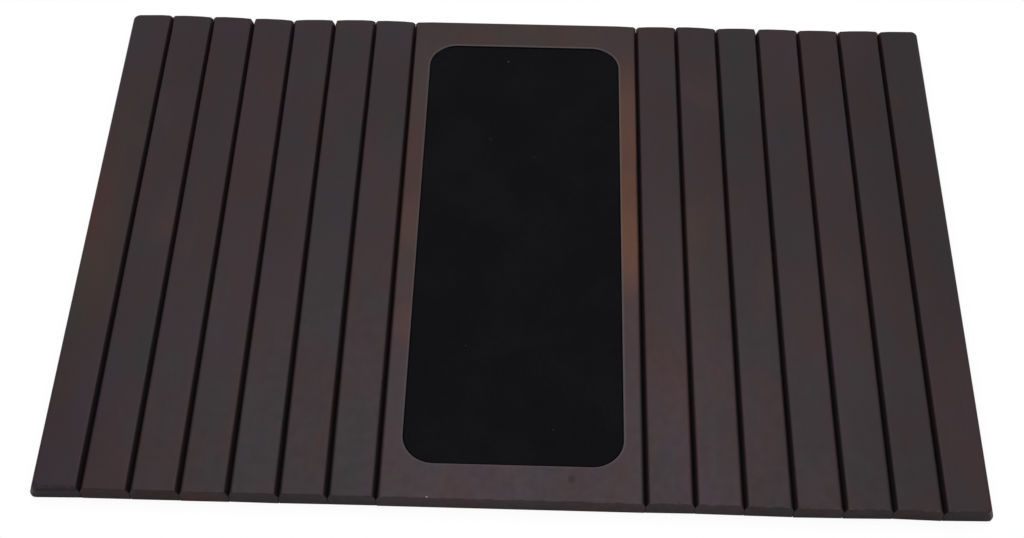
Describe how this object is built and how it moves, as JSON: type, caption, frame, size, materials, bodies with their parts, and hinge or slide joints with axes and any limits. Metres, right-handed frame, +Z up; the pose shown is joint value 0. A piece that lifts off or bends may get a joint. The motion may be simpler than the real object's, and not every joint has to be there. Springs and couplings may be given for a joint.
{
  "type": "sofa armrest tray",
  "caption": "Flat slatted wooden tray with a mat let into its wide centre board and flaps of cloth-hinged slats that drape over a sofa arm.",
  "frame": {"origin": "on the backing cloth's lower face, under the middle of the centre board", "axes": "tray lying flat: +X to the right across the slats, +Y to the rear along the slats, +Z up"},
  "size_m": [0.442, 0.3, 0.0101],
  "materials": {
    "centre_board_wood": "dark espresso stain under satin lacquer, slightly lighter than the slats",
    "slat_wood": "dark espresso stain under satin lacquer",
    "mat_foam": "matt black, fine pebbled",
    "backing_cloth": "black plain weave"
  },
  "bodies": {
    "centre": {"centre_board": "centre_board_wood", "centre_mat": "mat_foam", "backing_centre": "backing_cloth"},
    "left_1": {"slat_left_1": "slat_wood", "backing_left_1": "backing_cloth"},
    "left_2": {"slat_left_2": "slat_wood", "backing_left_2": "backing_cloth"},
    "left_3": {"slat_left_3": "slat_wood", "backing_left_3": "backing_cloth"},
    "left_4": {"slat_left_4": "slat_wood", "backing_left_4": "backing_cloth"},
    "left_5": {"slat_left_5": "slat_wood", "backing_left_5": "backing_cloth"},
    "left_6": {"slat_left_6": "slat_wood", "backing_left_6": "backing_cloth"},
    "left_7": {"slat_left_7": "slat_wood", "backing_left_7": "backing_cloth"},
    "right_1": {"slat_right_1": "slat_wood", "backing_right_1": "backing_cloth"},
    "right_2": {"slat_right_2": "slat_wood", "backing_right_2": "backing_cloth"},
    "right_3": {"slat_right_3": "slat_wood", "backing_right_3": "backing_cloth"},
    "right_4": {"slat_right_4": "slat_wood", "backing_right_4": "backing_cloth"},
    "right_5": {"slat_right_5": "slat_wood", "backing_right_5": "backing_cloth"},
    "right_6": {"slat_right_6": "slat_wood", "backing_right_6": "backing_cloth"},
    "right_7": {"slat_right_7": "slat_wood", "backing_right_7": "backing_cloth"}
  },
  "joints": [
    {"name": "left_hinge_1", "type": "hinge", "parent": "centre", "child": "left_1", "pos_m": [-0.0615, 0, 0], "axis": [0, -1, 0], "range_deg": [0, 40]},
    {"name": "left_hinge_2", "type": "hinge", "parent": "left_1", "child": "left_2", "pos_m": [-0.0841, 0, 0], "axis": [0, -1, 0], "range_deg": [0, 40]},
    {"name": "left_hinge_3", "type": "hinge", "parent": "left_2", "child": "left_3", "pos_m": [-0.1067, 0, 0], "axis": [0, -1, 0], "range_deg": [0, 40]},
    {"name": "left_hinge_4", "type": "hinge", "parent": "left_3", "child": "left_4", "pos_m": [-0.1293, 0, 0], "axis": [0, -1, 0], "range_deg": [0, 40]},
    {"name": "left_hinge_5", "type": "hinge", "parent": "left_4", "child": "left_5", "pos_m": [-0.1519, 0, 0], "axis": [0, -1, 0], "range_deg": [0, 40]},
    {"name": "left_hinge_6", "type": "hinge", "parent": "left_5", "child": "left_6", "pos_m": [-0.1745, 0, 0], "axis": [0, -1, 0], "range_deg": [0, 40]},
    {"name": "left_hinge_7", "type": "hinge", "parent": "left_6", "child": "left_7", "pos_m": [-0.1971, 0, 0], "axis": [0, -1, 0], "range_deg": [0, 40]},
    {"name": "right_hinge_1", "type": "hinge", "parent": "centre", "child": "right_1", "pos_m": [0.0615, 0, 0], "axis": [0, 1, 0], "range_deg": [0, 40]},
    {"name": "right_hinge_2", "type": "hinge", "parent": "right_1", "child": "right_2", "pos_m": [0.0841, 0, 0], "axis": [0, 1, 0], "range_deg": [0, 40]},
    {"name": "right_hinge_3", "type": "hinge", "parent": "right_2", "child": "right_3", "pos_m": [0.1067, 0, 0], "axis": [0, 1, 0], "range_deg": [0, 40]},
    {"name": "right_hinge_4", "type": "hinge", "parent": "right_3", "child": "right_4", "pos_m": [0.1293, 0, 0], "axis": [0, 1, 0], "range_deg": [0, 40]},
    {"name": "right_hinge_5", "type": "hinge", "parent": "right_4", "child": "right_5", "pos_m": [0.1519, 0, 0], "axis": [0, 1, 0], "range_deg": [0, 40]},
    {"name": "right_hinge_6", "type": "hinge", "parent": "right_5", "child": "right_6", "pos_m": [0.1745, 0, 0], "axis": [0, 1, 0], "range_deg": [0, 40]},
    {"name": "right_hinge_7", "type": "hinge", "parent": "right_6", "child": "right_7", "pos_m": [0.1971, 0, 0], "axis": [0, 1, 0], "range_deg": [0, 40]}
  ]
}
